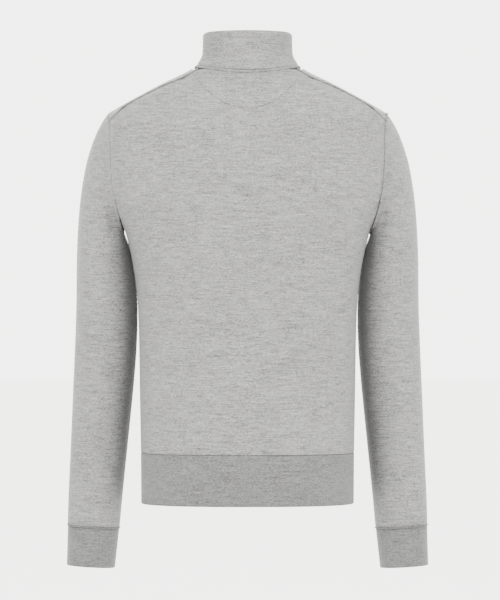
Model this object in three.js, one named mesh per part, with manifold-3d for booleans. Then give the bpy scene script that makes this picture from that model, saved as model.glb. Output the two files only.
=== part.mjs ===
// A zip-up knitted sweater in its worn, hollow form: long sleeves, stand collar, closed front zip.
// Millimetres, +Z up, the front faces -Y, the wearer's left is +X.
// The origin is on the neck's axis at the height of the side neck points, where the shoulders carry it.
import * as THREE from 'three';
import { mergeVertices } from 'three/addons/utils/BufferGeometryUtils.js';
import Module from 'manifold-3d';

const wasm = await Module();
wasm.setup();

// ---------- driving dimensions ----------
const HEAD_GAP = 1.3;         // between the armhole and the sleeve's head, and under the arm
const UNDERARM_GAP = 1.6;
const CLOTH = 2;              // wall of the single knit
const COLLAR_WALL = 3;        // the collar is doubled cloth
const TAPE_WALL = 1;
const SEAM_GAP = 0.3;
const CURVED_GAP = 1.7;       // seams on strongly curved stretches keep a little more
const ROUNDNESS = 2.4;        // exponent of the body's rounded sections
const SLEEVE_ROUNDNESS = 2.2;

const HEM_Z = -662;
const WELT_Z = -585;          // seam line between each panel and its hem welt
const ARMPIT_Z = -251;
const SHOULDER_TIP_Z = -68;
const UNROLL_Z = -150;        // above this height the front panels are laid out by angle, over the shoulder
const UNROLL_RADIUS = 120;

const NECK_HALF_WIDTH = 79.5;
const NECK_BACK = 70;
const NECK_FRONT = 88;
const NECK_SIDE_Z = 2;
const NECK_BACK_DROP = 11;
const NECK_FRONT_DROP = 64;
const SEAM_START_X = 72;      // where the shoulder seam leaves the neck seam, on the back

const ZIP_HALF_OPENING = 5;   // the front edges stand this far from the centre line
const CHAIN_HALF_WIDTH = 2.9;
const CHAIN_FACE = 1.4;       // depths of the chain's two faces under the cloth's face
const CHAIN_BACK = 5;
const TAPE_INNER_X = 3.3;
const TAPE_OUTER_X = 14;
const TAPE_CLEARANCE = 1;     // between the cloth's inner face and the tape
const COLLAR_BEND_RADIUS = 60;

const BOX_WIDTH = 6;          // the box that holds the zip's foot
const BOX_HEIGHT = 8;
const BOX_THICKNESS = 3;
const BOX_DEPTH_IN = 3.2;
const BOX_RISE = 9;

const CUFF_SEAM_Z = -700;
const CUFF_END_Z = -762;

// Sections of the body: half width, depth behind and depth in front of the side seams, at each height.
const BODY = [
  { z: 14, width: 62, back: 20, front: 6 },
  { z: 2, width: 79.5, back: 38, front: 10 },
  { z: -1, width: 86.5, back: 51, front: 15 },
  { z: -4, width: 93, back: 59, front: 20 },
  { z: -9, width: 104, back: 70, front: 30 },
  { z: -20, width: 125.5, back: 80, front: 44 },
  { z: -30, width: 144.5, back: 87, front: 55 },
  { z: -42, width: 166, back: 93, front: 68 },
  { z: -52, width: 184.5, back: 97, front: 79 },
  { z: -62, width: 202, back: 101, front: 88 },
  { z: -68, width: 212, back: 103, front: 92 },
  { z: -80, width: 218, back: 106, front: 97 },
  { z: -120, width: 222, back: 113, front: 108 },
  { z: -160, width: 220, back: 118, front: 115 },
  { z: -200, width: 210, back: 120, front: 119 },
  { z: -235, width: 193.5, back: 119.5, front: 121 },
  { z: -251, width: 185.5, back: 118.5, front: 121 },
  { z: -298, width: 174, back: 113, front: 119 },
  { z: -347, width: 167.5, back: 108, front: 115 },
  { z: -400, width: 165.5, back: 105.5, front: 111 },
  { z: -500, width: 164, back: 105, front: 108.5 },
  { z: -585, width: 162.5, back: 106, front: 107.5 },
  { z: -662, width: 162, back: 106.5, front: 107.5 },
];

// The armhole's half width at each height, on the back and, cut deeper, on the front.
const ARMHOLE = [
  { z: -68, back: 212, front: 212 },
  { z: -80, back: 209, front: 207.5 },
  { z: -100, back: 207.5, front: 202 },
  { z: -125, back: 207, front: 197.5 },
  { z: -160, back: 206, front: 195 },
  { z: -195, back: 202, front: 194 },
  { z: -220, back: 196, front: 191.5 },
  { z: -240, back: 189.5, front: 188 },
  { z: -251, back: 185.5, front: 185.5 },
];

// The shoulder seam, set back behind the shoulder line, from the neck to the armhole.
const SHOULDER_SEAM = [
  { x: 72, z: 0.4 },
  { x: 80, z: -7 },
  { x: 89, z: -13 },
  { x: 113, z: -22 },
  { x: 136, z: -32 },
  { x: 159, z: -44 },
  { x: 183, z: -57 },
  { x: 201, z: -69 },
  { x: 209, z: -80 },
];

// Sections of the sleeve below the armpit: centre, half width, half depth, and how far it tips outwards.
const SLEEVE = [
  { z: -300, x: 218.5, y: -31, width: 44.5, depth: 57, tip: 0 },
  { z: -350, x: 214.5, y: -35, width: 48, depth: 56, tip: 0.01 },
  { z: -430, x: 217, y: -37, width: 48.5, depth: 52, tip: 0.03 },
  { z: -505, x: 222.5, y: -39, width: 46.5, depth: 48, tip: 0.05 },
  { z: -581, x: 228, y: -42, width: 44, depth: 44, tip: 0.06 },
  { z: -657, x: 234, y: -44, width: 42, depth: 41, tip: 0.06 },
  { z: -700, x: 236.5, y: -47, width: 40.5, depth: 38, tip: 0.06 },
  { z: -762, x: 241, y: -51, width: 38, depth: 35, tip: 0.06 },
];

// The collar's flare: how much of the way from the neck seam's ring to the top ring, at each share of height.
const COLLAR_FLARE = [
  { rise: 0, inward: 0 },
  { rise: 0.16, inward: 0.38 },
  { rise: 0.3, inward: 0.78 },
  { rise: 0.45, inward: 0.97 },
  { rise: 1, inward: 1 },
];
// The collar's top edge, by angle from the centre back.
const COLLAR_TOP = [
  { angle: 0, z: 53 },
  { angle: 60, z: 53 },
  { angle: 75, z: 51.5 },
  { angle: 90, z: 48.5 },
  { angle: 120, z: 31 },
  { angle: 150, z: 14 },
  { angle: 180, z: 8 },
];
const COLLAR_TOP_HALF_WIDTH = 68.5;
const COLLAR_TOP_BACK = 65;
const COLLAR_TOP_FRONT = 74;

// ---------- numbers ----------
const lerp = THREE.MathUtils.lerp;
const smoothstep = THREE.MathUtils.smoothstep;

// A smooth curve through one column of a table, with no overshoot between rows.
function curve(table, key, column) {
  const rows = [...table].sort((a, b) => a[key] - b[key]);
  const at = rows.map((row) => row[key]);
  const value = rows.map((row) => row[column]);
  const slope = at.slice(1).map((next, i) => (value[i + 1] - value[i]) / (next - at[i]));
  const last = rows.length - 1;
  const tangent = rows.map((_, i) => {
    if (i === 0) return slope[0];
    if (i === last) return slope[last - 1];
    if (slope[i - 1] * slope[i] <= 0) return 0;
    const before = at[i] - at[i - 1];
    const after = at[i + 1] - at[i];
    const weightBefore = 2 * after + before;
    const weightAfter = after + 2 * before;
    return (weightBefore + weightAfter) / (weightBefore / slope[i - 1] + weightAfter / slope[i]);
  });
  return (t) => {
    if (t <= at[0]) return value[0] + tangent[0] * (t - at[0]);
    if (t >= at[last]) return value[last] + tangent[last] * (t - at[last]);
    const i = at.findIndex((next) => next > t) - 1;
    const span = at[i + 1] - at[i];
    const s = (t - at[i]) / span;
    const s2 = s * s;
    const s3 = s2 * s;
    const ends = value[i] * (2 * s3 - 3 * s2 + 1) + value[i + 1] * (3 * s2 - 2 * s3);
    return ends + span * (tangent[i] * (s3 - 2 * s2 + s) + tangent[i + 1] * (s3 - s2));
  };
}

// Points an even distance apart along a polyline.
function evenly(points, count) {
  const path = new THREE.CurvePath();
  for (let i = 1; i < points.length; i += 1) path.add(new THREE.LineCurve3(points[i - 1], points[i]));
  return Array.from({ length: count }, (_, i) => path.getPointAt(i / (count - 1)));
}

// ---------- the body's form ----------
const bodyWidth = curve(BODY, 'z', 'width');
const bodyBack = curve(BODY, 'z', 'back');
const bodyFront = curve(BODY, 'z', 'front');
const armholeBack = curve(ARMHOLE, 'z', 'back');
const armholeFront = curve(ARMHOLE, 'z', 'front');
const seamHeight = curve(SHOULDER_SEAM, 'x', 'z');
const SEAM_END_X = SHOULDER_SEAM.at(-1).x;

// Below zero inside the body's form, above zero outside it.
function bodyLevel(point) {
  const width = Math.max(bodyWidth(point.z), 1);
  const depth = Math.max(point.y > 0 ? bodyBack(point.z) : bodyFront(point.z), 1);
  return Math.abs(point.x / width) ** ROUNDNESS + Math.abs(point.y / depth) ** ROUNDNESS - 1;
}

function bodyNormal(point) {
  const step = 0.5;
  const along = (x, y, z) => bodyLevel(point.clone().add(new THREE.Vector3(x, y, z)));
  return new THREE.Vector3(
    along(step, 0, 0) - along(-step, 0, 0),
    along(0, step, 0) - along(0, -step, 0),
    along(0, 0, step) - along(0, 0, -step),
  ).normalize();
}

// The point of the body's form at x and z, on the back (side 1) or the front (side -1).
function bodyPoint(x, z, side) {
  const share = Math.min(Math.abs(x) / bodyWidth(z), 1);
  const depth = side > 0 ? bodyBack(z) : bodyFront(z);
  return new THREE.Vector3(x, side * depth * (1 - share ** ROUNDNESS) ** (1 / ROUNDNESS), z);
}

// The layout of the front: x, and a height that turns into an angle over the shoulder.
function frontPoint(x, height) {
  if (height <= UNROLL_Z) return bodyPoint(x, height, -1);
  const angle = (height - UNROLL_Z) / UNROLL_RADIUS;
  let near = 0;
  let far = 240;
  const point = new THREE.Vector3();
  for (let i = 0; i < 40; i += 1) {
    const reach = (near + far) / 2;
    point.set(x, -reach * Math.cos(angle), UNROLL_Z + reach * Math.sin(angle));
    if (bodyLevel(point) > 0) far = reach;
    else near = reach;
  }
  return point;
}

function frontLayout(point) {
  if (point.z <= UNROLL_Z) return new THREE.Vector2(point.x, point.z);
  const angle = Math.atan2(point.z - UNROLL_Z, -point.y);
  return new THREE.Vector2(point.x, UNROLL_Z + UNROLL_RADIUS * angle);
}

// The neck seam, by angle from the centre back.
function neckPoint(angle) {
  const back = Math.cos(angle);
  const drop = back > 0 ? NECK_BACK_DROP * back ** 2 : NECK_FRONT_DROP * (-back) ** 1.3;
  const depth = back > 0 ? NECK_BACK : NECK_FRONT;
  return new THREE.Vector3(NECK_HALF_WIDTH * Math.sin(angle), depth * back, NECK_SIDE_Z - drop);
}

const SEAM_START_ANGLE = Math.asin(SEAM_START_X / NECK_HALF_WIDTH);

// The left armhole from the shoulder tip down to the armpit, on the back or the front.
function armholeHalf(side, count) {
  const edge = side > 0 ? armholeBack : armholeFront;
  const points = Array.from({ length: 61 }, (_, i) => {
    const z = lerp(SHOULDER_TIP_Z, ARMPIT_Z, (1 - Math.cos(Math.PI * i / 60)) / 2);
    return bodyPoint(Math.min(edge(z), bodyWidth(z)), z, side);
  });
  return evenly(points, count);
}

// ---------- walls of cloth ----------
// A closed wall between an outer grid of points and an inner one, open or closed round its columns.
function wall(outer, inner, closed) {
  const rows = outer.length;
  const columns = outer[0].length;
  const points = [...outer.flat(), ...inner.flat()];
  const at = (layer, row, column) => layer * rows * columns + row * columns + (column % columns);
  const index = [];
  const quad = (a, b, c, d) => index.push(a, b, c, a, c, d);
  const across = closed ? columns : columns - 1;
  for (let row = 0; row < rows - 1; row += 1) {
    for (let column = 0; column < across; column += 1) {
      quad(at(0, row, column), at(0, row, column + 1), at(0, row + 1, column + 1), at(0, row + 1, column));
      quad(at(1, row, column), at(1, row + 1, column), at(1, row + 1, column + 1), at(1, row, column + 1));
    }
  }
  for (let column = 0; column < across; column += 1) {
    const top = rows - 1;
    quad(at(0, 0, column + 1), at(0, 0, column), at(1, 0, column), at(1, 0, column + 1));
    quad(at(0, top, column), at(0, top, column + 1), at(1, top, column + 1), at(1, top, column));
  }
  if (!closed) {
    const end = columns - 1;
    for (let row = 0; row < rows - 1; row += 1) {
      quad(at(0, row, 0), at(0, row + 1, 0), at(1, row + 1, 0), at(1, row, 0));
      quad(at(0, row + 1, end), at(0, row, end), at(1, row, end), at(1, row + 1, end));
    }
  }
  const geometry = new THREE.BufferGeometry();
  const numbers = points.flatMap((p) => p.toArray());
  geometry.setAttribute('position', new THREE.Float32BufferAttribute(numbers, 3));
  geometry.setIndex(index);
  return facingOut(geometry);
}

// The geometry with its faces turned outwards, whichever way its grid ran.
function facingOut(geometry) {
  const position = geometry.getAttribute('position');
  const index = geometry.getIndex();
  const corner = [new THREE.Vector3(), new THREE.Vector3(), new THREE.Vector3()];
  let volume = 0;
  for (let i = 0; i < index.count; i += 3) {
    corner.forEach((vertex, k) => vertex.fromBufferAttribute(position, index.getX(i + k)));
    volume += corner[0].dot(corner[1].cross(corner[2]));
  }
  if (volume < 0) {
    for (let i = 0; i < index.count; i += 3) {
      const swap = index.getX(i + 1);
      index.setX(i + 1, index.getX(i + 2));
      index.setX(i + 2, swap);
    }
  }
  geometry.computeVertexNormals();
  return geometry;
}

// A wall whose outer and inner faces lie at two depths under the body's form.
function bodyWall(grid, outerDepth, innerDepth) {
  const sink = (depth) => grid.map((row) => row.map((p) => p.clone().addScaledVector(bodyNormal(p), -depth)));
  return wall(sink(outerDepth), sink(innerDepth), false);
}

function mirrored(grid) {
  return grid.map((row) => row.map((p) => new THREE.Vector3(-p.x, p.y, p.z)));
}

// ---------- panels ----------
// Points across one half of a section of the body, from x = start to the side seam.
function halfSection(z, side, start, shares) {
  const width = bodyWidth(z);
  const first = Math.asin((start / width) ** (ROUNDNESS / 2));
  return shares.map((share) => {
    const angle = lerp(first, Math.PI / 2, share);
    const point = bodyPoint(width * Math.sin(angle) ** (2 / ROUNDNESS), z, side);
    if (share === 1) point.y = side * SEAM_GAP / 2;
    return point;
  });
}

// Rows of a panel's lower part, from one height up to another.
function lowerRows(from, to, count, side, start, shares) {
  const heights = Array.from({ length: count }, (_, i) => lerp(from, to, i / (count - 1)));
  return heights.map((z) => halfSection(z, side, start, shares));
}

// A patch in the layout between a bottom row, a top edge and an outer side edge.
function layoutPatch(bottom, top, outer, place) {
  const rows = outer.length;
  const last = bottom.length - 1;
  return outer.slice(1).map((edge, i) => {
    const rise = (i + 1) / (rows - 1);
    const straight = bottom[last].clone().lerp(top[last], rise);
    return bottom.map((low, column) => {
      const pull = (column / last) ** 2;
      const spot = low.clone().lerp(top[column], rise).addScaledVector(edge.clone().sub(straight), pull);
      return place(spot.x, spot.y);
    });
  });
}

const HALF_COLUMNS = 9;
const shareList = (count) => Array.from({ length: count + 1 }, (_, i) => i / count);

function backHalfGrid() {
  const shares = shareList(HALF_COLUMNS);
  const low = lowerRows(WELT_Z + SEAM_GAP, ARMPIT_Z, 9, 1, 0, shares);
  const flat = (p) => new THREE.Vector2(p.x, p.z);
  const armhole = armholeHalf(1, 40).reverse().filter((p) => p.z < SHOULDER_SEAM.at(-1).z - 1);
  const end = bodyPoint(SEAM_END_X, SHOULDER_SEAM.at(-1).z - CURVED_GAP, 1);
  const outer = evenly([...armhole, end], 9).map(flat);
  const topEdge = shares.map((share) => {
    const x = SEAM_END_X * share ** 0.93;
    if (x >= SEAM_START_X) return new THREE.Vector2(x, seamHeight(x) - CURVED_GAP);
    return new THREE.Vector2(x, neckPoint(Math.asin(x / NECK_HALF_WIDTH)).z - SEAM_GAP);
  });
  const high = layoutPatch(low.at(-1).map(flat), topEdge, outer, (x, z) => bodyPoint(x, z, 1));
  return [...low, ...high];
}

// The back is one panel, so its half grid is mirrored and joined at the centre.
function backGrid() {
  const half = backHalfGrid();
  const other = mirrored(half);
  return half.map((row, i) => [...other[i].slice(1).reverse(), ...row]);
}

// The left front: the zip edge, the neck, the shoulder seam behind the shoulder line, and the armhole.
function frontGrid() {
  const shares = shareList(HALF_COLUMNS + 2);
  const low = lowerRows(WELT_Z + SEAM_GAP, ARMPIT_Z, 9, -1, ZIP_HALF_OPENING, shares);
  const neckEdge = Array.from({ length: 40 }, (_, i) => {
    const angle = lerp(Math.PI - Math.asin(ZIP_HALF_OPENING / NECK_HALF_WIDTH), SEAM_START_ANGLE, i / 39);
    return neckPoint(angle);
  });
  const seamEdge = Array.from({ length: 30 }, (_, i) => {
    const x = lerp(SEAM_START_X, SEAM_END_X, i / 29);
    return bodyPoint(x, seamHeight(x), 1);
  });
  const topEdge = evenly([...neckEdge, ...seamEdge.slice(1)], shares.length).map(frontLayout);
  const back = armholeHalf(1, 40).filter((p) => p.z > SHOULDER_SEAM.at(-1).z + 1);
  const around = [...armholeHalf(-1, 60).reverse(), ...back.slice(1), seamEdge.at(-1)];
  const outer = evenly(around, 13).map(frontLayout);
  const high = layoutPatch(low.at(-1).map(frontLayout), topEdge, outer, frontPoint);
  return [...low, ...high];
}

function weltGrid(side, start, columns) {
  return lowerRows(HEM_Z, WELT_Z - SEAM_GAP, 4, side, start, shareList(columns));
}

function backWeltGrid() {
  const half = weltGrid(1, 0, HALF_COLUMNS);
  const other = mirrored(half);
  return half.map((row, i) => [...other[i].slice(1).reverse(), ...row]);
}

// ---------- sleeves ----------
const SLEEVE_COLUMNS = 20;
const sleeveColumns = ['x', 'y', 'width', 'depth', 'tip'];
const sleeveAt = Object.fromEntries(sleeveColumns.map((key) => [key, curve(SLEEVE, 'z', key)]));

// A point of the sleeve's section at z: angle 0 is its outer side, a quarter turn is its back.
function sleevePoint(z, angle, inset = 0) {
  const round = (value) => Math.sign(value) * Math.abs(value) ** (2 / SLEEVE_ROUNDNESS);
  const x = sleeveAt.x(z) + (sleeveAt.width(z) - inset) * round(Math.cos(angle));
  const y = sleeveAt.y(z) + (sleeveAt.depth(z) - inset) * round(Math.sin(angle));
  return new THREE.Vector3(x, y, z + sleeveAt.tip(z) * (x - sleeveAt.x(z)));
}

// The left armhole, all round: from the shoulder tip down the back to the armpit and up the front.
function armholeRing() {
  const half = SLEEVE_COLUMNS / 2 + 1;
  const back = armholeHalf(1, half);
  const front = armholeHalf(-1, half).reverse();
  return [...back, ...front.slice(1, -1)];
}

// One path of the sleeve head, from the armhole out and down to the first full section.
function headPath(start, before, after, share, angle) {
  const normal = bodyNormal(start);
  const outward = after.clone().sub(before).normalize().cross(normal);
  if (outward.x < 0) outward.negate();
  const target = sleevePoint(SLEEVE[0].z, angle);
  const down = target.clone().sub(start).normalize();
  const skim = down.clone().addScaledVector(normal, -down.dot(normal));
  const underarm = smoothstep(share, 0.55, 0.95);
  const leave = outward.multiplyScalar(1 - underarm).addScaledVector(skim, 0.6 * (1 - underarm));
  leave.addScaledVector(new THREE.Vector3(0.5, 0, -0.85), underarm).normalize();
  const gap = lerp(HEAD_GAP, UNDERARM_GAP, underarm);
  const first = start.clone().addScaledVector(leave, gap).add(new THREE.Vector3(0.4 * underarm, 0, 0.2 * underarm));
  const pull = lerp(35, 6, share);
  const drop = lerp(150, 20, share);
  return new THREE.CubicBezierCurve3(
    first,
    first.clone().addScaledVector(leave, pull),
    target.clone().add(new THREE.Vector3(0, 0, drop)),
    target,
  );
}

function sleeveGrid() {
  const ring = armholeRing();
  const count = ring.length;
  const paths = ring.map((start, i) => {
    const angle = 2 * Math.PI * i / count;
    const share = 1 - Math.abs(1 - 2 * i / count);
    return headPath(start, ring[(i + count - 1) % count], ring[(i + 1) % count], share, angle);
  });
  const head = [0, 0.08, 0.18, 0.3, 0.45, 0.6, 0.8].map((t) => paths.map((path) => path.getPoint(t)));
  const heights = [-300, -350, -430, -505, -581, -657, CUFF_SEAM_Z + SEAM_GAP];
  const arm = heights.map((z) => paths.map((_, i) => sleevePoint(z, 2 * Math.PI * i / count)));
  return [...head, ...arm];
}

// Normals of a grid that is closed round its columns, pointing away from the middle of each row.
function tubeNormals(grid) {
  return grid.map((row, i) => row.map((p, j) => {
    const up = grid[Math.min(i + 1, grid.length - 1)][j].clone().sub(grid[Math.max(i - 1, 0)][j]);
    const round = row[(j + 1) % row.length].clone().sub(row[(j + row.length - 1) % row.length]);
    return up.cross(round).normalize();
  }));
}

function tubeWall(grid, thickness) {
  const normals = tubeNormals(grid);
  const middle = grid.at(-1).reduce((sum, p) => sum.add(p), new THREE.Vector3()).divideScalar(grid[0].length);
  const outwards = normals.at(-1)[0].dot(grid.at(-1)[0].clone().sub(middle)) > 0 ? 1 : -1;
  const inner = grid.map((row, i) => row.map((p, j) => (
    p.clone().addScaledVector(normals[i][j], -outwards * thickness)
  )));
  return wall(grid, inner, true);
}

function cuffGrid() {
  const heights = [CUFF_SEAM_Z - SEAM_GAP, lerp(CUFF_SEAM_Z, CUFF_END_Z, 0.5), CUFF_END_Z];
  return heights.map((z) => Array.from({ length: SLEEVE_COLUMNS }, (_, i) => (
    sleevePoint(z, 2 * Math.PI * i / SLEEVE_COLUMNS, 0.4)
  )));
}

// ---------- collar ----------
const collarInward = curve(COLLAR_FLARE, 'rise', 'inward');
const collarTop = curve(COLLAR_TOP, 'angle', 'z');

// A point of the collar at an angle from the centre back, a share of the way up, moved in by a depth.
function collarPoint(angle, rise, depth = 0) {
  const base = neckPoint(angle);
  const back = Math.cos(angle);
  const topY = (back > 0 ? COLLAR_TOP_BACK : COLLAR_TOP_FRONT) * back;
  const top = new THREE.Vector2(COLLAR_TOP_HALF_WIDTH * Math.sin(angle), topY);
  const plan = new THREE.Vector2(base.x, base.y).lerp(top, collarInward(rise));
  const outward = new THREE.Vector2(Math.sin(angle) / NECK_HALF_WIDTH, back / NECK_BACK).normalize();
  plan.addScaledVector(outward, -depth);
  const turn = THREE.MathUtils.radToDeg(Math.abs(angle));
  return new THREE.Vector3(plan.x, plan.y, lerp(base.z, collarTop(turn), rise));
}

function collarGrid(depth) {
  const columns = 34;
  const rises = [0.03, 0.1, 0.2, 0.3, 0.42, 0.7, 1];
  const edge = Math.PI - Math.asin(ZIP_HALF_OPENING / COLLAR_TOP_HALF_WIDTH);
  return rises.map((rise) => Array.from({ length: columns + 1 }, (_, i) => {
    const point = collarPoint(lerp(-edge, edge, i / columns), rise, depth);
    if (i === 0) point.x = -ZIP_HALF_OPENING;
    if (i === columns) point.x = ZIP_HALF_OPENING;
    return point;
  }));
}

// ---------- zip ----------
// The line down the centre front that the zip follows: its places and outward directions.
function zipLine(heights) {
  const places = heights.map((height) => {
    if (height.collar !== undefined) {
      const point = collarPoint(Math.PI, height.collar);
      return { y: point.y, z: point.z, bend: 1 / (2 * COLLAR_BEND_RADIUS) };
    }
    return { y: -bodyFront(height.z), z: height.z, bend: 0 };
  });
  return places.map((place, i) => {
    const below = places[Math.max(i - 1, 0)];
    const above = places[Math.min(i + 1, places.length - 1)];
    const along = new THREE.Vector2(above.y - below.y, above.z - below.z).normalize();
    return { ...place, outY: -along.y, outZ: along.x };
  });
}

// A strip along the zip between two widths and two depths under the cloth's face.
function zipStrip(line, innerX, outerX, outerDepth, innerDepth) {
  const columns = 2;
  const sink = (depth) => line.map((place) => Array.from({ length: columns + 1 }, (_, i) => {
    const x = lerp(innerX, outerX, i / columns);
    const sag = place.bend * x * x;
    return new THREE.Vector3(x, place.y - place.outY * depth + sag, place.z - place.outZ * depth);
  }));
  return wall(sink(outerDepth), sink(innerDepth), false);
}

const ZIP_BOTTOM_Z = HEM_Z + 4;
const bodyHeights = Array.from({ length: 15 }, (_, i) => ({ z: lerp(HEM_Z + 14, -70, i / 14) }));
const tapeLine = zipLine([
  { z: ZIP_BOTTOM_Z },
  ...bodyHeights,
  ...[0.03, 0.1, 0.2, 0.3, 0.45, 0.7, 0.95].map((collar) => ({ collar })),
]);
const chainLine = zipLine([
  ...bodyHeights,
  ...[0.03, 0.1, 0.2, 0.3, 0.45, 0.7].map((collar) => ({ collar })),
]);

function block(width, height, depth, x, y, z) {
  const geometry = new THREE.BoxGeometry(width, depth, height);
  geometry.translate(x, y, z);
  return geometry;
}

// A closed mesh as a manifold solid, and back.
function solid(geometry) {
  const bare = geometry.clone();
  bare.deleteAttribute('normal');
  bare.deleteAttribute('uv');
  const merged = mergeVertices(bare, 1e-4);
  return new wasm.Manifold(new wasm.Mesh({
    numProp: 3,
    vertProperties: new Float32Array(merged.getAttribute('position').array),
    triVerts: new Uint32Array(merged.getIndex().array),
  }));
}

function geometryOf(shape) {
  const mesh = shape.getMesh();
  const geometry = new THREE.BufferGeometry();
  geometry.setAttribute('position', new THREE.BufferAttribute(mesh.vertProperties, 3));
  geometry.setIndex(new THREE.BufferAttribute(mesh.triVerts, 1));
  geometry.computeVertexNormals();
  return geometry;
}

// The slider in its own frame: +Z up the zip, -Y out of the cloth, y = 0 on the cloth's face.
const SLIDER_WIDTH = 8.8;
const SLIDER_LENGTH = 11;
const LUG_WIDTH = 2.2;
const HINGE_OUT = 3.2;       // the pull's crossbar, out from the cloth's face
const HINGE_UP = 1.5;
const BAR = 1.6;             // thickness of the pull and of its crossbar
const PULL_LENGTH = 32;
const PULL_WIDTH = 8;

function sliderGeometry() {
  const topPlate = solid(block(SLIDER_WIDTH, SLIDER_LENGTH, 1.4, 0, -0.6, 0));
  const backPlate = solid(block(SLIDER_WIDTH, SLIDER_LENGTH, 1.2, 0, 6.6, 0));
  const wedge = solid(block(4.4, 3.6, 7.4, 0, 3, 3.2));
  const lug = solid(block(LUG_WIDTH, 8, 4.4, 0, -3.2, HINGE_UP));
  const window = solid(block(LUG_WIDTH + 2, 4.2, 2.6, 0, -HINGE_OUT + 0.2, HINGE_UP));
  return geometryOf(topPlate.add(backPlate).add(wedge).add(lug).subtract(window));
}

// The pull tab hangs from its crossbar, which passes through the lug's window.
function pullGeometry() {
  const tab = solid(block(PULL_WIDTH, PULL_LENGTH, BAR, 0, 0, BAR / 2 - PULL_LENGTH / 2));
  const eye = solid(block(3.4, 6, BAR + 2, 0, 0, -BAR / 2 - 3));
  return geometryOf(tab.subtract(eye));
}

// ---------- assembly ----------
const KNIT = { color: 0xaeada9, roughness: 0.95, metalness: 0 };
const RIB = { color: 0xa3a29e, roughness: 0.95, metalness: 0 };
const TAPE = { color: 0x8e8d8a, roughness: 0.9, metalness: 0 };
const METAL = { color: 0x9a9a9c, roughness: 0.35, metalness: 1 };

function piece(name, geometry, look) {
  const mesh = new THREE.Mesh(geometry, new THREE.MeshStandardMaterial(look));
  mesh.name = name;
  return mesh;
}

const sweater = new THREE.Group();
sweater.add(piece('body_back', bodyWall(backGrid(), 0, CLOTH), KNIT));
sweater.add(piece('hem_back', bodyWall(backWeltGrid(), 0, CLOTH), RIB));
const collarWall = wall(collarGrid(0), collarGrid(COLLAR_WALL), false);
sweater.add(piece('collar', collarWall, KNIT));

const sides = [{ name: 'left', place: (grid) => grid, sign: 1 }, { name: 'right', place: mirrored, sign: -1 }];
for (const { name, place, sign } of sides) {
  sweater.add(piece(`body_front_${name}`, bodyWall(place(frontGrid()), 0, CLOTH), KNIT));
  const welt = place(weltGrid(-1, ZIP_HALF_OPENING, HALF_COLUMNS));
  sweater.add(piece(`hem_front_${name}`, bodyWall(welt, 0, CLOTH), RIB));
  sweater.add(piece(`sleeve_${name}`, tubeWall(place(sleeveGrid()), CLOTH), KNIT));
  sweater.add(piece(`cuff_${name}`, tubeWall(place(cuffGrid()), CLOTH), RIB));
  const tapeDepth = COLLAR_WALL + TAPE_CLEARANCE;
  const tape = zipStrip(tapeLine, sign * TAPE_INNER_X, sign * TAPE_OUTER_X, tapeDepth, tapeDepth + TAPE_WALL);
  sweater.add(piece(`zip_tape_${name}`, tape, TAPE));
}
const chain = zipStrip(chainLine, -CHAIN_HALF_WIDTH, CHAIN_HALF_WIDTH, CHAIN_FACE, CHAIN_BACK);
sweater.add(piece('zip_chain', chain, METAL));

// The slider stands upright at the top of the closed zip.
const rest = collarPoint(Math.PI, 0.86);
const slider = new THREE.Group();
slider.position.copy(rest);
slider.add(piece('zip_slider', sliderGeometry(), METAL));
const pull = piece('zip_pull', pullGeometry(), METAL);
pull.position.set(0, -HINGE_OUT, HINGE_UP);
slider.add(pull);
sweater.add(slider);

const boxY = -bodyFront(HEM_Z) + BOX_DEPTH_IN;
sweater.add(piece('zip_box', block(BOX_WIDTH, BOX_HEIGHT, BOX_THICKNESS, 0, boxY, HEM_Z + BOX_RISE), METAL));

export default sweater;
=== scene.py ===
"""A zip-up fine-knit sweater in its worn form: heather knit shells, linked seams and a metal zip."""
import logging
import math
from dataclasses import dataclass
from enum import Enum

import bmesh
import bpy
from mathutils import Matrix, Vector


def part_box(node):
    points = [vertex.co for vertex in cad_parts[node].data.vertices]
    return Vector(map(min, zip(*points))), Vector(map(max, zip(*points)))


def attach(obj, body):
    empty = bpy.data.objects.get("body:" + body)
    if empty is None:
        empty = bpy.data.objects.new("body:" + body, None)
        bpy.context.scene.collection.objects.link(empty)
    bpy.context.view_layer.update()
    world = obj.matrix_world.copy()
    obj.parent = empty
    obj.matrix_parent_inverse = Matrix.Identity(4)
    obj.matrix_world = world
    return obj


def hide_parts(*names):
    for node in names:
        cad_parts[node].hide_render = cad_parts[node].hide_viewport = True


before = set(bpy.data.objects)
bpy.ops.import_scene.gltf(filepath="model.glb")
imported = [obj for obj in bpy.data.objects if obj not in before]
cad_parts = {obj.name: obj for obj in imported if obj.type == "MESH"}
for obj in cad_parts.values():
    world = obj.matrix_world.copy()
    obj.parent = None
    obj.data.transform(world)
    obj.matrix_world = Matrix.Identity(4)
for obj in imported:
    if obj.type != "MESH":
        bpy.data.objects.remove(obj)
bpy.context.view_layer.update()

LOG = logging.getLogger("sweater")
GARMENT = "garment"
SIDES = (("left", 1), ("right", -1))
MERGE_DISTANCE = 1e-5
RIM_ANGLE = math.radians(50)
JOIN_ANGLE = math.radians(35)
RIM_CREASE = 0.85
MIDDLE_PIECE = 0.12  # a piece whose middle is nearer than this to the garment's is drawn in towards its axis
BODY_GREY = (0.086, 0.0855, 0.082)
# the rib hem and cuffs are the body's yarn, given a darker grey as painted shade
WELT_PAINTED_SHADE_GREY = (0.054, 0.0538, 0.0527)
TAPE_GREY = (0.045, 0.045, 0.043)
YARN_STREAKS = 1.4
YARN_FLECKS = 2.3
YARN_CLOUDS = 0.3
LOOP_RELIEF = 0.35
WALES_PER_M = 4200.0  # as radians for each metre, and the courses likewise
COURSES_PER_M = 5200.0


class Held(Enum):
    """How a cloth piece is held."""

    HUNG = "hung"


class Slot(Enum):
    """The finish slot a piece belongs to."""

    KNIT = "knit"
    RIB = "rib"
    METAL = "zip_metal"


@dataclass(frozen=True)
class Grain:
    """A size of noise: how it is squeezed along the height, and its frequency."""

    squeeze: float
    scale: float


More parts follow.
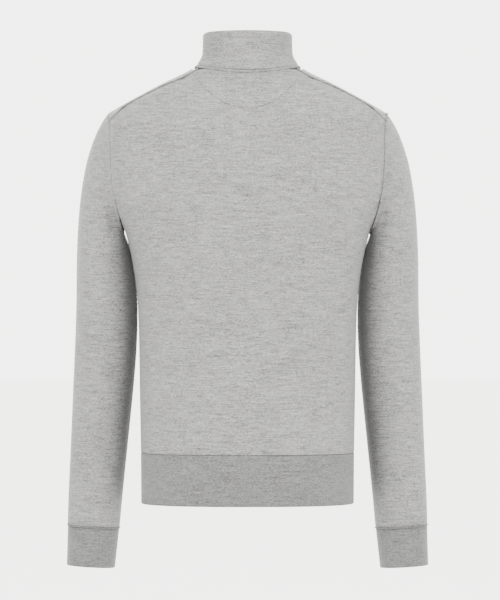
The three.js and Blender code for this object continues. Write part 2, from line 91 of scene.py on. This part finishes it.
STREAK = Grain(9, 55)
FLECK = Grain(2.6, 330)
CLOUD = Grain(2, 14)
FIBRE = Grain(2, 1100)
TARNISH = Grain(1, 900)


@dataclass(frozen=True)
class Fold:
    """A soft trough in cloth along a line, in metres."""

    start: tuple[float, float, float]
    end: tuple[float, float, float]
    width: float
    depth: float

    def sink(self, point: Vector) -> float:
        """How far this fold draws the cloth in.

        Args:
            point: a point of the cloth.

        Returns:
            The depth of the trough at the point, in metres.
        """
        a = Vector(self.start)
        line = Vector(self.end) - a
        share = max(0.0, min(1.0, (point - a).dot(line) / line.length_squared))
        distance = (point - (a + line * share)).length
        fade = math.sin(math.pi * (0.12 + 0.76 * share))
        return self.depth * fade * math.exp(-((distance / self.width) ** 2))


def new_group(name: str, inputs: dict[str, float], outputs: dict[str, str]) -> bpy.types.NodeTree:
    """An empty shader group.

    Args:
        name: the group's name.
        inputs: names and default values of its number inputs.
        outputs: names and socket types of its outputs.

    Returns:
        The node tree, with a Group Input node named "in" and a Group Output node named "out".
    """
    tree = bpy.data.node_groups.new(name, "ShaderNodeTree")
    for label, value in inputs.items():
        socket = tree.interface.new_socket(label, in_out="INPUT", socket_type="NodeSocketFloat")
        socket.default_value = value
    for label, kind in outputs.items():
        tree.interface.new_socket(label, in_out="OUTPUT", socket_type=kind)
    tree.nodes.new("NodeGroupInput").name = "in"
    tree.nodes.new("NodeGroupOutput").name = "out"
    return tree


def math_node(tree: bpy.types.NodeTree, operation: str, *values: object) -> bpy.types.NodeSocket:
    """A math node.

    Args:
        tree: the tree it goes into.
        operation: the name of its operation.
        values: a socket or a number for each input.

    Returns:
        Its output socket.
    """
    node = tree.nodes.new("ShaderNodeMath")
    node.operation = operation
    for i, value in enumerate(values):
        if isinstance(value, (int, float)):
            node.inputs[i].default_value = value
        else:
            tree.links.new(value, node.inputs[i])
    return node.outputs[0]


def noise(tree: bpy.types.NodeTree, grain: Grain) -> bpy.types.NodeSocket:
    """Noise in the object's own space.

    Args:
        tree: the tree it goes into.
        grain: its size.

    Returns:
        Its value socket.
    """
    where = tree.nodes.new("ShaderNodeTexCoord")
    mapping = tree.nodes.new("ShaderNodeMapping")
    mapping.inputs["Scale"].default_value = (1, 1, grain.squeeze)
    node = tree.nodes.new("ShaderNodeTexNoise")
    node.inputs["Scale"].default_value = grain.scale
    node.inputs["Detail"].default_value = 3
    tree.links.new(where.outputs["Object"], mapping.inputs["Vector"])
    tree.links.new(mapping.outputs["Vector"], node.inputs["Vector"])
    return node.outputs["Fac"]


def object_axes(tree: bpy.types.NodeTree) -> bpy.types.bpy_prop_collection:
    """The X, Y and Z sockets of a point in the object's own space.

    Args:
        tree: the tree they are made in.

    Returns:
        The sockets, by name.
    """
    where = tree.nodes.new("ShaderNodeTexCoord")
    split = tree.nodes.new("ShaderNodeSeparateXYZ")
    tree.links.new(where.outputs["Object"], split.inputs[0])
    return split.outputs


def heather_group() -> bpy.types.NodeTree:
    """The mix of light and dark fibres in the yarn, with fine level streaks, and the knit's relief.

    Returns:
        The group, with the input Streaks and the outputs Shade and Relief.
    """
    outputs = {"Shade": "NodeSocketFloat", "Relief": "NodeSocketFloat"}
    tree = new_group("heather_knit", {"Streaks": YARN_STREAKS}, outputs)
    source, result = tree.nodes["in"], tree.nodes["out"]
    streak = math_node(tree, "SUBTRACT", noise(tree, STREAK), 0.5)
    fleck = math_node(tree, "SUBTRACT", noise(tree, FLECK), 0.5)
    cloud = math_node(tree, "SUBTRACT", noise(tree, CLOUD), 0.5)
    shade = math_node(tree, "MULTIPLY", streak, source.outputs["Streaks"])
    shade = math_node(tree, "MULTIPLY_ADD", fleck, YARN_FLECKS, shade)
    shade = math_node(tree, "MULTIPLY_ADD", cloud, YARN_CLOUDS, shade)
    axes = object_axes(tree)
    wale = math_node(tree, "MULTIPLY", math_node(tree, "ADD", axes["X"], axes["Y"]), WALES_PER_M)
    course = math_node(tree, "MULTIPLY", axes["Z"], COURSES_PER_M)
    loops = math_node(tree, "MULTIPLY", math_node(tree, "SINE", wale), math_node(tree, "SINE", course))
    relief = math_node(tree, "MULTIPLY_ADD", loops, LOOP_RELIEF, noise(tree, FIBRE))
    tree.links.new(shade, result.inputs["Shade"])
    tree.links.new(relief, result.inputs["Relief"])
    return tree


@dataclass(frozen=True)
class StitchArc:
    """The half-moon of stitches under the back neck, in metres."""

    half_width: float = 0.0795
    power: float = 2.2
    rise: float = 0.051
    lowest: float = -0.066
    half_thickness: float = 0.0011
    behind: float = 0.02
    tone: float = -0.3

    def factor(self, tree: bpy.types.NodeTree) -> bpy.types.NodeSocket:
        """The line as a factor for the knit's tone.

        Args:
            tree: the material's tree.

        Returns:
            A socket that is one off the line and less on it.
        """
        axes = object_axes(tree)
        far = math_node(tree, "DIVIDE", math_node(tree, "ABSOLUTE", axes["X"]), self.half_width)
        curve = math_node(tree, "POWER", far, self.power)
        height = math_node(tree, "MULTIPLY_ADD", curve, self.rise, self.lowest)
        gap = math_node(tree, "ABSOLUTE", math_node(tree, "SUBTRACT", axes["Z"], height))
        near = math_node(tree, "LESS_THAN", gap, self.half_thickness)
        back = math_node(tree, "GREATER_THAN", axes["Y"], self.behind)
        line = math_node(tree, "MULTIPLY", near, back)
        return math_node(tree, "MULTIPLY_ADD", line, self.tone, 1.0)


@dataclass(frozen=True)
class KnitFinish:
    """A heather grey knit, with painted shade where cloth lies close to cloth."""

    name: str
    colour: tuple[float, float, float]
    streaks: float = YARN_STREAKS
    relief: float = 0.35
    arc: StitchArc | None = None
    roughness: float = 0.95
    specular: float = 0.15
    sheen: float = 0.12
    relief_height: float = 0.0006
    pocket_reach: float = 0.12
    pocket_power: float = 1.1
    pocket_samples: int = 8

    def material(self, heather: bpy.types.NodeTree) -> bpy.types.Material:
        """Builds the material.

        Args:
            heather: the shared knit group.

        Returns:
            The finished material.
        """
        material = bpy.data.materials.new(self.name)
        material.use_nodes = True
        tree = material.node_tree
        shader = tree.nodes["Principled BSDF"]
        shader.inputs["Roughness"].default_value = self.roughness
        shader.inputs["Specular IOR Level"].default_value = self.specular
        shader.inputs["Sheen Weight"].default_value = self.sheen
        group = tree.nodes.new("ShaderNodeGroup")
        group.node_tree = heather
        group.inputs["Streaks"].default_value = self.streaks
        value = math_node(tree, "ADD", group.outputs["Shade"], 1.0)
        # painted shade: the knit's colour is darkened where other cloth is close
        value = math_node(tree, "MULTIPLY", value, self.painted_close_shade(tree))
        if self.arc:
            value = math_node(tree, "MULTIPLY", value, self.arc.factor(tree))
        tint = tree.nodes.new("ShaderNodeVectorMath")
        tint.operation = "SCALE"
        tint.inputs[0].default_value = self.colour
        tree.links.new(value, tint.inputs["Scale"])
        tree.links.new(tint.outputs[0], shader.inputs["Base Color"])
        bump = tree.nodes.new("ShaderNodeBump")
        bump.inputs["Strength"].default_value = self.relief
        bump.inputs["Distance"].default_value = self.relief_height
        tree.links.new(group.outputs["Relief"], bump.inputs["Height"])
        tree.links.new(bump.outputs[0], shader.inputs["Normal"])
        return material

    def painted_close_shade(self, tree: bpy.types.NodeTree) -> bpy.types.NodeSocket:
        """Painted shade where cloth lies close to cloth, from ambient occlusion multiplied into the colour.

        Args:
            tree: the material's tree.

        Returns:
            A socket that is one in the open and less where other surfaces are close.
        """
        closeness = tree.nodes.new("ShaderNodeAmbientOcclusion")
        closeness.inputs["Distance"].default_value = self.pocket_reach
        closeness.samples = self.pocket_samples
        return math_node(tree, "POWER", closeness.outputs["AO"], self.pocket_power)


@dataclass(frozen=True)
class MetalFinish:
    """The zip's dull grey metal, a little worn."""

    name: str = "zip_metal_worn"
    colour: tuple[float, float, float, float] = (0.36, 0.36, 0.37, 1)
    smoothest: float = 0.2
    wear: float = 0.3

    def material(self) -> bpy.types.Material:
        """Builds the material.

        Returns:
            The finished material.
        """
        material = bpy.data.materials.new(self.name)
        material.use_nodes = True
        tree = material.node_tree
        shader = tree.nodes["Principled BSDF"]
        shader.inputs["Metallic"].default_value = 1
        shader.inputs["Base Color"].default_value = self.colour
        rough = math_node(tree, "MULTIPLY_ADD", noise(tree, TARNISH), self.wear, self.smoothest)
        tree.links.new(rough, shader.inputs["Roughness"])
        return material


def add_object(name: str, data: bpy.types.ID) -> bpy.types.Object:
    """A new object in the scene.

    Args:
        name: its name.
        data: its mesh, curve, light or camera.

    Returns:
        The object.
    """
    made = bpy.data.objects.new(name, data)
    bpy.context.scene.collection.objects.link(made)
    return made


def evaluated_mesh(shape: bpy.types.Object) -> bpy.types.Mesh:
    """The mesh of an object with its modifiers or bevel applied.

    Args:
        shape: the object.

    Returns:
        A new mesh.
    """
    bpy.context.view_layer.update()
    return bpy.data.meshes.new_from_object(shape.evaluated_get(bpy.context.evaluated_depsgraph_get()))


def cad_bmesh(node: str) -> bmesh.types.BMesh:
    """A CAD node's mesh with its shared points joined.

    Args:
        node: the CAD node's name.

    Returns:
        The mesh, which the caller frees.
    """
    mesh = bmesh.new()
    mesh.from_mesh(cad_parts[node].data)
    bmesh.ops.remove_doubles(mesh, verts=mesh.verts, dist=MERGE_DISTANCE)
    return mesh


def is_rim(edge: bmesh.types.BMEdge) -> bool:
    """Whether an edge is one of the sharp edges round a wall's cut ends.

    Args:
        edge: an edge of a CAD mesh.

    Returns:
        True on a rim.
    """
    return len(edge.link_faces) == 2 and edge.calc_face_angle() > RIM_ANGLE


def rim_loops(node: str) -> list[list[Vector]]:
    """The sharp edges of a CAD wall.

    Args:
        node: the CAD node's name.

    Returns:
        One list of points, in order, for each run of edges.
    """
    mesh = cad_bmesh(node)
    sharp = {edge for edge in mesh.edges if is_rim(edge)}
    loops = []
    while sharp:
        edge = min(sharp, key=lambda e: e.index)
        sharp.discard(edge)
        run = [edge.verts[0], edge.verts[1]]
        while True:
            following = [e for e in run[-1].link_edges if e in sharp]
            if not following:
                break
            edge = following[0]
            sharp.discard(edge)
            run.append(edge.other_vert(run[-1]))
        loops.append([v.co.copy() for v in run])
    mesh.free()
    return loops


@dataclass
class KnitPiece:
    """A shell of knit cloth on its CAD solid's form, with its flat size in metres."""

    node: str
    flat: tuple[float, float]
    area: float | None = None
    folds: tuple[Fold, ...] = ()
    slot: Slot = Slot.KNIT
    level: int = 2

    def build(self, material: bpy.types.Material) -> None:
        """Args:
            material: the knit's finish.
        """
        mesh = cad_bmesh(self.node)
        bmesh.ops.join_triangles(
            mesh, faces=mesh.faces, angle_face_threshold=JOIN_ANGLE, angle_shape_threshold=math.pi)
        crease = mesh.edges.layers.float.new("crease_edge")
        for edge in mesh.edges:
            if is_rim(edge):
                edge[crease] = RIM_CREASE
        data = bpy.data.meshes.new(f"{self.node}_knit")
        mesh.to_mesh(data)
        mesh.free()
        data.materials.append(material)
        piece = add_object(f"{self.node}_knit", data)
        smooth = piece.modifiers.new("fine", "SUBSURF")
        smooth.levels = smooth.render_levels = self.level
        fine = evaluated_mesh(piece)
        piece.modifiers.clear()
        piece.data = fine
        self.sink_folds(fine)
        fine.shade_smooth()
        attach(piece, GARMENT)
        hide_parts(self.node)

    def sink_folds(self, mesh: bpy.types.Mesh) -> None:
        """Draws the cloth in along each fold, both faces together.

        Args:
            mesh: the fine shell.
        """
        low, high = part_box(self.node)
        middle = (low + high) / 2
        if abs(middle.x) < MIDDLE_PIECE:
            middle = Vector((0, 0, 0))
        for vertex in mesh.vertices:
            inward = Vector((middle.x - vertex.co.x, middle.y - vertex.co.y, 0)).normalized()
            vertex.co += inward * sum(fold.sink(vertex.co) for fold in self.folds)


@dataclass
class Seam:
    """A linked seam: a soft ridge of yarn along the edge of a piece."""

    name: str
    radius: float
    slot: Slot = Slot.KNIT

    def build(self, points: list[Vector], material: bpy.types.Material) -> None:
        """Lays the ridge as a swept mesh and rides it on the garment.

        Args:
            points: the ridge's line.
            material: its finish.
        """
        curve = bpy.data.curves.new(self.name, "CURVE")
        curve.dimensions = "3D"
        curve.bevel_depth = self.radius
        curve.bevel_resolution = 2
        spline = curve.splines.new("POLY")
        closed = (points[0] - points[-1]).length < 1e-4
        used = points[:-1] if closed else points
        spline.points.add(len(used) - 1)
        for target, point in zip(spline.points, used):
            target.co = (*point, 1)
        spline.use_cyclic_u = closed
        shape = add_object(self.name, curve)
        data = evaluated_mesh(shape)
        bpy.data.objects.remove(shape)
        data.materials.clear()
        data.materials.append(material)
        data.shade_smooth()
        ridge = add_object(self.name, data)
        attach(ridge, GARMENT)


def shoulder_line(sign: int) -> list[Vector]:
    """The shoulder seam behind one shoulder, on the back panel's outer edge.

    Args:
        sign: 1 for the left shoulder and -1 for the right.

    Returns:
        Points from the neck to the armhole.
    """
    neck, lowest, step, lift = 0.068, -0.086, 0.007, 0.0006
    spots = [point for loop in rim_loops("body_back") for point in loop]
    outer: dict[int, Vector] = {}
    for point in spots:
        if sign * point.x <= neck or point.z <= lowest:
            continue
        key = round(abs(point.x) / step)
        if key not in outer or point.y + point.z > outer[key].y + outer[key].z:
            outer[key] = point
    return [outer[key] + Vector((0, -lift, lift)) for key in sorted(outer)]


@dataclass(frozen=True)
class NeckLine:
    """The neck seam from one side of the zip round the back to the other, a hair above the panels."""

    half_width: float = 0.0785
    back: float = 0.0695
    front: float = 0.0878
    back_drop: float = 0.011
    front_drop: float = 0.064
    front_power: float = 1.3
    height: float = 0.0012
    reach: int = 176
    count: int = 72

    def points(self) -> list[Vector]:
        """Lays out the line.

        Returns:
            Its points, in order.
        """
        line = []
        for i in range(self.count + 1):
            angle = math.radians(-self.reach + 2 * self.reach * i / self.count)
            behind = math.cos(angle)
            if behind > 0:
                y, drop = self.back * behind, self.back_drop * behind ** 2
            else:
                y, drop = self.front * behind, self.front_drop * (-behind) ** self.front_power
            line.append(Vector((self.half_width * math.sin(angle), y, self.height - drop)))
        return line


def mean_height(loop: list[Vector]) -> float:
    """The mean height of a loop.

    Args:
        loop: its points.

    Returns:
        The height, in metres.
    """
    return sum(point.z for point in loop) / len(loop)


def top_loop(node: str) -> list[Vector]:
    """The outer edge of a tube of cloth at its top.

    Args:
        node: the CAD node's name.

    Returns:
        The edge's points, in order.
    """
    loops = sorted(rim_loops(node), key=mean_height)[-2:]
    return max(loops, key=lambda loop: sum((a - b).length for a, b in zip(loop, loop[1:])))


@dataclass
class Zip:
    """The front zip: teeth along the chain, tapes beside it, and metal hardware. Sizes are in metres."""

    pitch: float = 0.0018
    tooth: tuple[float, float, float] = (0.0034, 0.0016, 0.0011)
    shift: float = 0.0011
    proud: float = 0.0004
    row_gap: float = 0.004

    def build(self, metal: bpy.types.Material, tape: bpy.types.Material) -> None:
        """Dresses the zip's CAD nodes and sets its teeth.

        Args:
            metal: the finish of the hardware and teeth.
            tape: the finish of the tapes and chain.
        """
        for node in ("zip_slider", "zip_pull", "zip_box"):
            self.dress(node, metal)
        for node in ("zip_tape_left", "zip_tape_right", "zip_chain"):
            self.dress(node, tape)
        self.set_teeth(metal)

    @staticmethod
    def dress(node: str, material: bpy.types.Material) -> None:
        """Puts a finish on a CAD node that stays.

        Args:
            node: the CAD node's name.
            material: its finish.
        """
        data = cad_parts[node].data
        data.materials.clear()
        data.materials.append(material)

    def face_line(self) -> list[Vector]:
        """The middle of the chain's outer face.

        Returns:
            Points from the bottom up, one for each row of the chain.
        """
        rows: dict[float, Vector] = {}
        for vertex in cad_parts["zip_chain"].data.vertices:
            key = round(vertex.co.z, 3)
            if abs(vertex.co.x) < 1e-4 and (key not in rows or vertex.co.y < rows[key].y):
                rows[key] = vertex.co.copy()
        line = [rows[key] for key in sorted(rows)]
        return [p for i, p in enumerate(line) if i == 0 or p.z - line[i - 1].z > self.row_gap]

    def set_teeth(self, metal: bpy.types.Material) -> None:
        """Sets one joined mesh of teeth, alternating left and right along the chain.

        Args:
            metal: the teeth's finish.
        """
        line = self.face_line()
        mesh = bmesh.new()
        count = int((line[-1].z - line[0].z) / self.pitch)
        for i in range(count):
            z = line[0].z + self.pitch * (i + 0.5)
            after = next(k for k, p in enumerate(line) if p.z >= z)
            low, high = line[after - 1], line[after]
            spot = low.lerp(high, (z - low.z) / (high.z - low.z))
            side = 1 if i % 2 else -1
            for vertex in bmesh.ops.create_cube(mesh, size=1)["verts"]:
                sized = Vector(a * b for a, b in zip(vertex.co, self.tooth))
                vertex.co = spot + sized + Vector((side * self.shift, -self.proud, 0))
        data = bpy.data.meshes.new("zip_teeth")
        mesh.to_mesh(data)
        mesh.free()
        data.materials.append(metal)
        teeth = add_object("zip_teeth", data)
        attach(teeth, GARMENT)


def side_folds(sign: int) -> tuple[Fold, ...]:
    """Short creases at the armhole's foot and soft drags towards the waist on one side of the body.

    Args:
        sign: 1 for the left side and -1 for the right.

    Returns:
        The folds.
    """
    return (
        Fold((sign * 0.196, 0.045, -0.205), (sign * 0.166, 0.075, -0.262), 0.007, 0.0026),
        Fold((sign * 0.192, 0.03, -0.235), (sign * 0.172, 0.06, -0.3), 0.006, 0.002),
        Fold((sign * 0.16, 0.07, -0.33), (sign * 0.08, 0.1, -0.39), 0.016, 0.0018),
        Fold((sign * 0.16, 0.06, -0.41), (sign * 0.1, 0.095, -0.49), 0.015, 0.0015),
        Fold((sign * 0.19, -0.045, -0.22), (sign * 0.14, -0.1, -0.3), 0.009, 0.0026),
        Fold((sign * 0.15, -0.08, -0.38), (sign * 0.06, -0.11, -0.45), 0.016, 0.0018),
    )


def sleeve_folds(sign: int) -> tuple[Fold, ...]:
    """Soft level drags at the elbow and short creases under the armhole of one sleeve.

    Args:
        sign: 1 for the left sleeve and -1 for the right.

    Returns:
        The folds.
    """
    return (
        Fold((sign * 0.21, 0.03, -0.2), (sign * 0.19, 0.035, -0.29), 0.008, 0.003),
        Fold((sign * 0.25, 0.01, -0.39), (sign * 0.19, 0.015, -0.44), 0.011, 0.003),
        Fold((sign * 0.262, -0.01, -0.46), (sign * 0.2, 0.01, -0.49), 0.01, 0.0022),
        Fold((sign * 0.25, 0.0, -0.55), (sign * 0.2, -0.005, -0.6), 0.012, 0.0022),
        Fold((sign * 0.24, -0.08, -0.42), (sign * 0.19, -0.07, -0.47), 0.011, 0.003),
        Fold((sign * 0.27, -0.02, -0.655), (sign * 0.21, -0.02, -0.668), 0.008, 0.0016),
    )


def collar_folds() -> tuple[Fold, ...]:
    """The two creases behind the neck and a drag at the front.

    Returns:
        The folds.
    """
    return (
        Fold((0.06, 0.04, 0.009), (0.0, 0.068, 0.016), 0.006, 0.0024),
        Fold((0.012, 0.067, 0.017), (-0.062, 0.035, 0.008), 0.006, 0.002),
        Fold((0.05, -0.05, -0.02), (0.015, -0.08, -0.035), 0.007, 0.0018),
    )


@dataclass(frozen=True)
class Lamp:
    """A soft square light aimed at the garment."""

    name: str
    place: tuple[float, float, float]
    power: float
    size: float = 1.8
    aim: tuple[float, float, float] = (0, 0, -0.3)

    def build(self) -> None:
        """Sets the light in the scene."""
        data = bpy.data.lights.new(self.name, "AREA")
        data.energy = self.power
        data.size = self.size
        light = add_object(self.name, data)
        light.location = self.place
        direction = Vector(self.aim) - Vector(self.place)
        light.rotation_euler = direction.to_track_quat("-Z", "Y").to_euler()


@dataclass(frozen=True)
class Stage:
    """The pale floor, soft studio light and the camera behind the garment."""

    floor_half: float = 30
    floor_level: float = -1.2
    floor_colour: tuple[float, float, float, float] = (0.9, 0.9, 0.89, 1)
    air_colour: tuple[float, float, float, float] = (0.9, 0.9, 0.885, 1)
    air_strength: float = 5.6
    lamps: tuple[Lamp, ...] = (
        Lamp("key", (0.2, 2.6, 2.0), 330),
        Lamp("fill", (-1.0, 3.0, 0.5), 120),
        Lamp("front", (0.4, -2.8, 1.2), 260),
    )
    lens: float = 197
    clip_end: float = 60
    camera_place: tuple[float, float, float] = (-0.0038, 5.0, -0.353)
    camera_turn: tuple[float, float, float] = (math.radians(90), 0, math.radians(180))

    def build(self) -> None:
        """Sets the stage."""
        self.lay_floor()
        world = bpy.data.worlds.new("studio")
        bpy.context.scene.world = world
        world.use_nodes = True
        background = world.node_tree.nodes["Background"]
        background.inputs["Color"].default_value = self.air_colour
        background.inputs["Strength"].default_value = self.air_strength
        for lamp in self.lamps:
            lamp.build()
        data = bpy.data.cameras.new("camera")
        data.lens = self.lens
        data.clip_end = self.clip_end
        camera = add_object("camera", data)
        camera.location = self.camera_place
        camera.rotation_euler = self.camera_turn
        bpy.context.scene.camera = camera

    def lay_floor(self) -> None:
        """Lays the floor, which is no part of the garment."""
        mesh = bpy.data.meshes.new("floor")
        half, level = self.floor_half, self.floor_level
        corners = [(-half, -half, level), (half, -half, level), (half, half, level), (-half, half, level)]
        mesh.from_pydata(corners, [], [(0, 1, 2, 3)])
        floor = bpy.data.objects.new("floor", mesh)
        pale = bpy.data.materials.new("pale_floor")
        pale.use_nodes = True
        pale.node_tree.nodes["Principled BSDF"].inputs["Base Color"].default_value = self.floor_colour
        mesh.materials.append(pale)
        bpy.context.scene.collection.objects.link(floor)


def main() -> None:
    """Builds every piece in order."""
    Stage().build()
    heather = heather_group()
    knit = KnitFinish("heather_knit_grey", BODY_GREY).material(heather)
    back = KnitFinish("heather_knit_back", BODY_GREY, arc=StitchArc()).material(heather)
    # painted shade: the hem, cuffs and cuff seams are darker than the body's grey
    welt = KnitFinish("heather_welt_painted_shade", WELT_PAINTED_SHADE_GREY, streaks=1.1, relief=0.5).material(heather)
    tape = KnitFinish("zip_tape_weave", TAPE_GREY, streaks=0.1).material(heather)
    both = side_folds(1) + side_folds(-1)
    KnitPiece("body_back", (0.52, 0.58), 0.253, both).build(back)
    KnitPiece("hem_back", (0.42, 0.0767), slot=Slot.RIB).build(welt)
    KnitPiece("collar", (0.46, 0.075), folds=collar_folds()).build(knit)
    LOG.info("back and collar done")
    for name, sign in SIDES:
        KnitPiece(f"body_front_{name}", (0.3, 0.63), 0.133, side_folds(sign)).build(knit)
        KnitPiece(f"hem_front_{name}", (0.21, 0.0767), slot=Slot.RIB).build(welt)
        KnitPiece(f"sleeve_{name}", (0.38, 0.63), 0.163, sleeve_folds(sign)).build(knit)
        KnitPiece(f"cuff_{name}", (0.23, 0.062), slot=Slot.RIB).build(welt)
        Seam(f"armhole_seam_{name}", 0.0014).build(top_loop(f"sleeve_{name}"), knit)
        Seam(f"cuff_seam_{name}", 0.0011, Slot.RIB).build(top_loop(f"cuff_{name}"), welt)
        Seam(f"shoulder_seam_{name}", 0.0013).build(shoulder_line(sign), knit)
        LOG.info("side %s done", name)
    Seam("neck_seam", 0.0026).build(NeckLine().points(), knit)
    Zip().build(MetalFinish().material(), tape)
    LOG.info("zip done")


if __name__ == "__main__":
    logging.basicConfig(level=logging.INFO)
    main()
